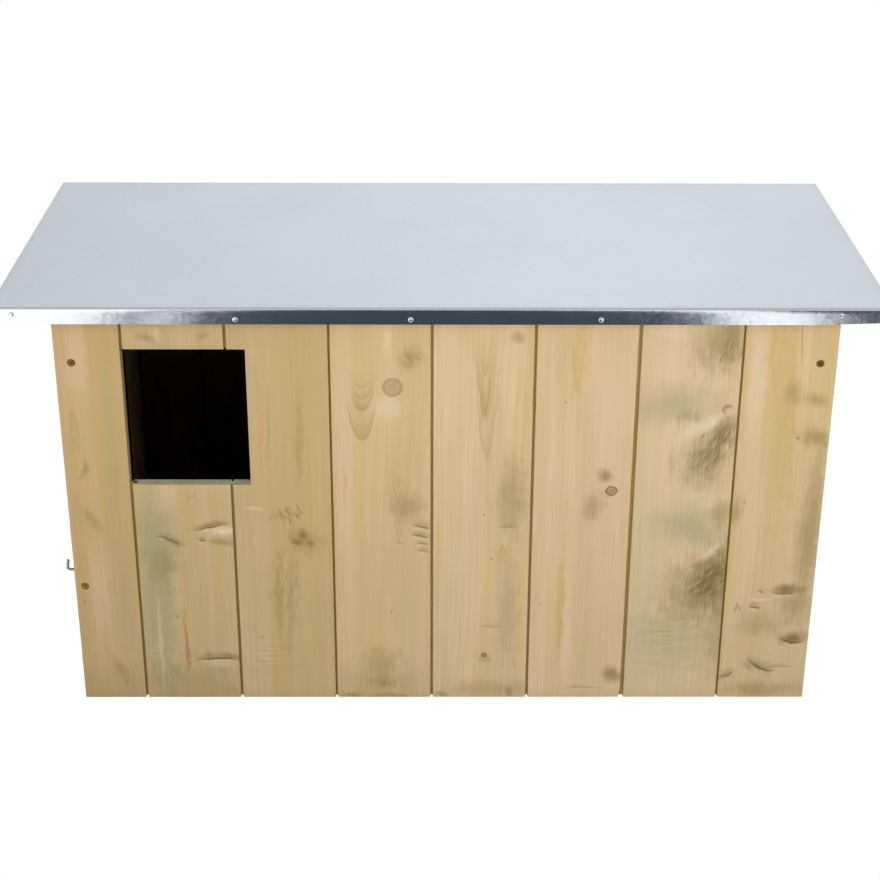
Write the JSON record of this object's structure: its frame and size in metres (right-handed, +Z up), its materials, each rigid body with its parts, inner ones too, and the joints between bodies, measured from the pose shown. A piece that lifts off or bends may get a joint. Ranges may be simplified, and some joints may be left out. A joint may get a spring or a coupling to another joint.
{
  "type": "owl nest box",
  "caption": "Wooden owl nest box of vertical tongued boards with a square entrance at one end, a folded galvanised sheet roof and a hinged clean-out door in the side, held by an L hook.",
  "frame": {"origin": "middle of the floor's underside, on the surface that the box stands on", "axes": "+X to the right along the front, +Y from the front to the back, +Z up"},
  "size_m": [0.933, 0.4066, 0.5173],
  "materials": {
    "softwood": "planed pressure-treated softwood, dry, matt",
    "galvanised_sheet": "new galvanised sheet, satin",
    "galvanised_nail": "galvanised, satin",
    "zinc_steel": "zinc plated",
    "dark_screw": "browned steel, dull",
    "hook_steel": "zinc plated wire, dulled"
  },
  "bodies": {
    "box": {"back_board_1": "softwood", "back_board_2": "softwood", "back_board_3": "softwood", "back_board_4": "softwood", "back_board_5": "softwood", "back_board_6": "softwood", "back_board_7": "softwood", "back_board_end": "softwood", "corner_screws": "dark_screw", "deck_board_1": "softwood", "deck_board_2": "softwood", "deck_board_3": "softwood", "deck_board_end": "softwood", "deck_screws": "zinc_steel", "door_head_rail": "softwood", "floor_board_1": "softwood", "floor_board_2": "softwood", "floor_board_end": "softwood", "floor_screws": "zinc_steel", "front_board_1": "softwood", "front_board_2_lower": "softwood", "front_board_2_upper": "softwood", "front_board_3": "softwood", "front_board_4": "softwood", "front_board_5": "softwood", "front_board_6": "softwood", "front_board_7": "softwood", "front_board_end": "softwood", "hinge_leaves_post": "zinc_steel", "hinge_pins": "zinc_steel", "hinge_screws_post": "zinc_steel", "post_back_left": "softwood", "post_back_right": "softwood", "post_front_left": "softwood", "post_front_right": "softwood", "rail_back_high": "softwood", "rail_back_low": "softwood", "rail_front_high": "softwood", "rail_front_low": "softwood", "rail_right_high": "softwood", "rail_right_low": "softwood", "rail_screws": "zinc_steel", "right_board_1": "softwood", "right_board_2": "softwood", "right_board_end": "softwood", "roof_nails": "galvanised_nail", "roof_sheet": "galvanised_sheet"},
    "door": {"door_board_1": "softwood", "door_board_2": "softwood", "door_board_end": "softwood", "door_ledge_high": "softwood", "door_ledge_low": "softwood", "ledge_screws": "zinc_steel", "hinge_leaves_door": "zinc_steel", "hinge_screws_door": "zinc_steel"},
    "hook": {"turn_hook": "hook_steel"}
  },
  "joints": [
    {"name": "door_swing", "type": "hinge", "parent": "box", "child": "door", "pos_m": [-0.4205, 0.1435, 0.25], "axis": [0, 0, -1], "range_deg": [0, 170]},
    {"name": "hook_turn", "type": "hinge", "parent": "box", "child": "hook", "pos_m": [-0.418, -0.151, 0.153], "axis": [-1, 0, 0], "range_deg": [-90, 90]}
  ]
}
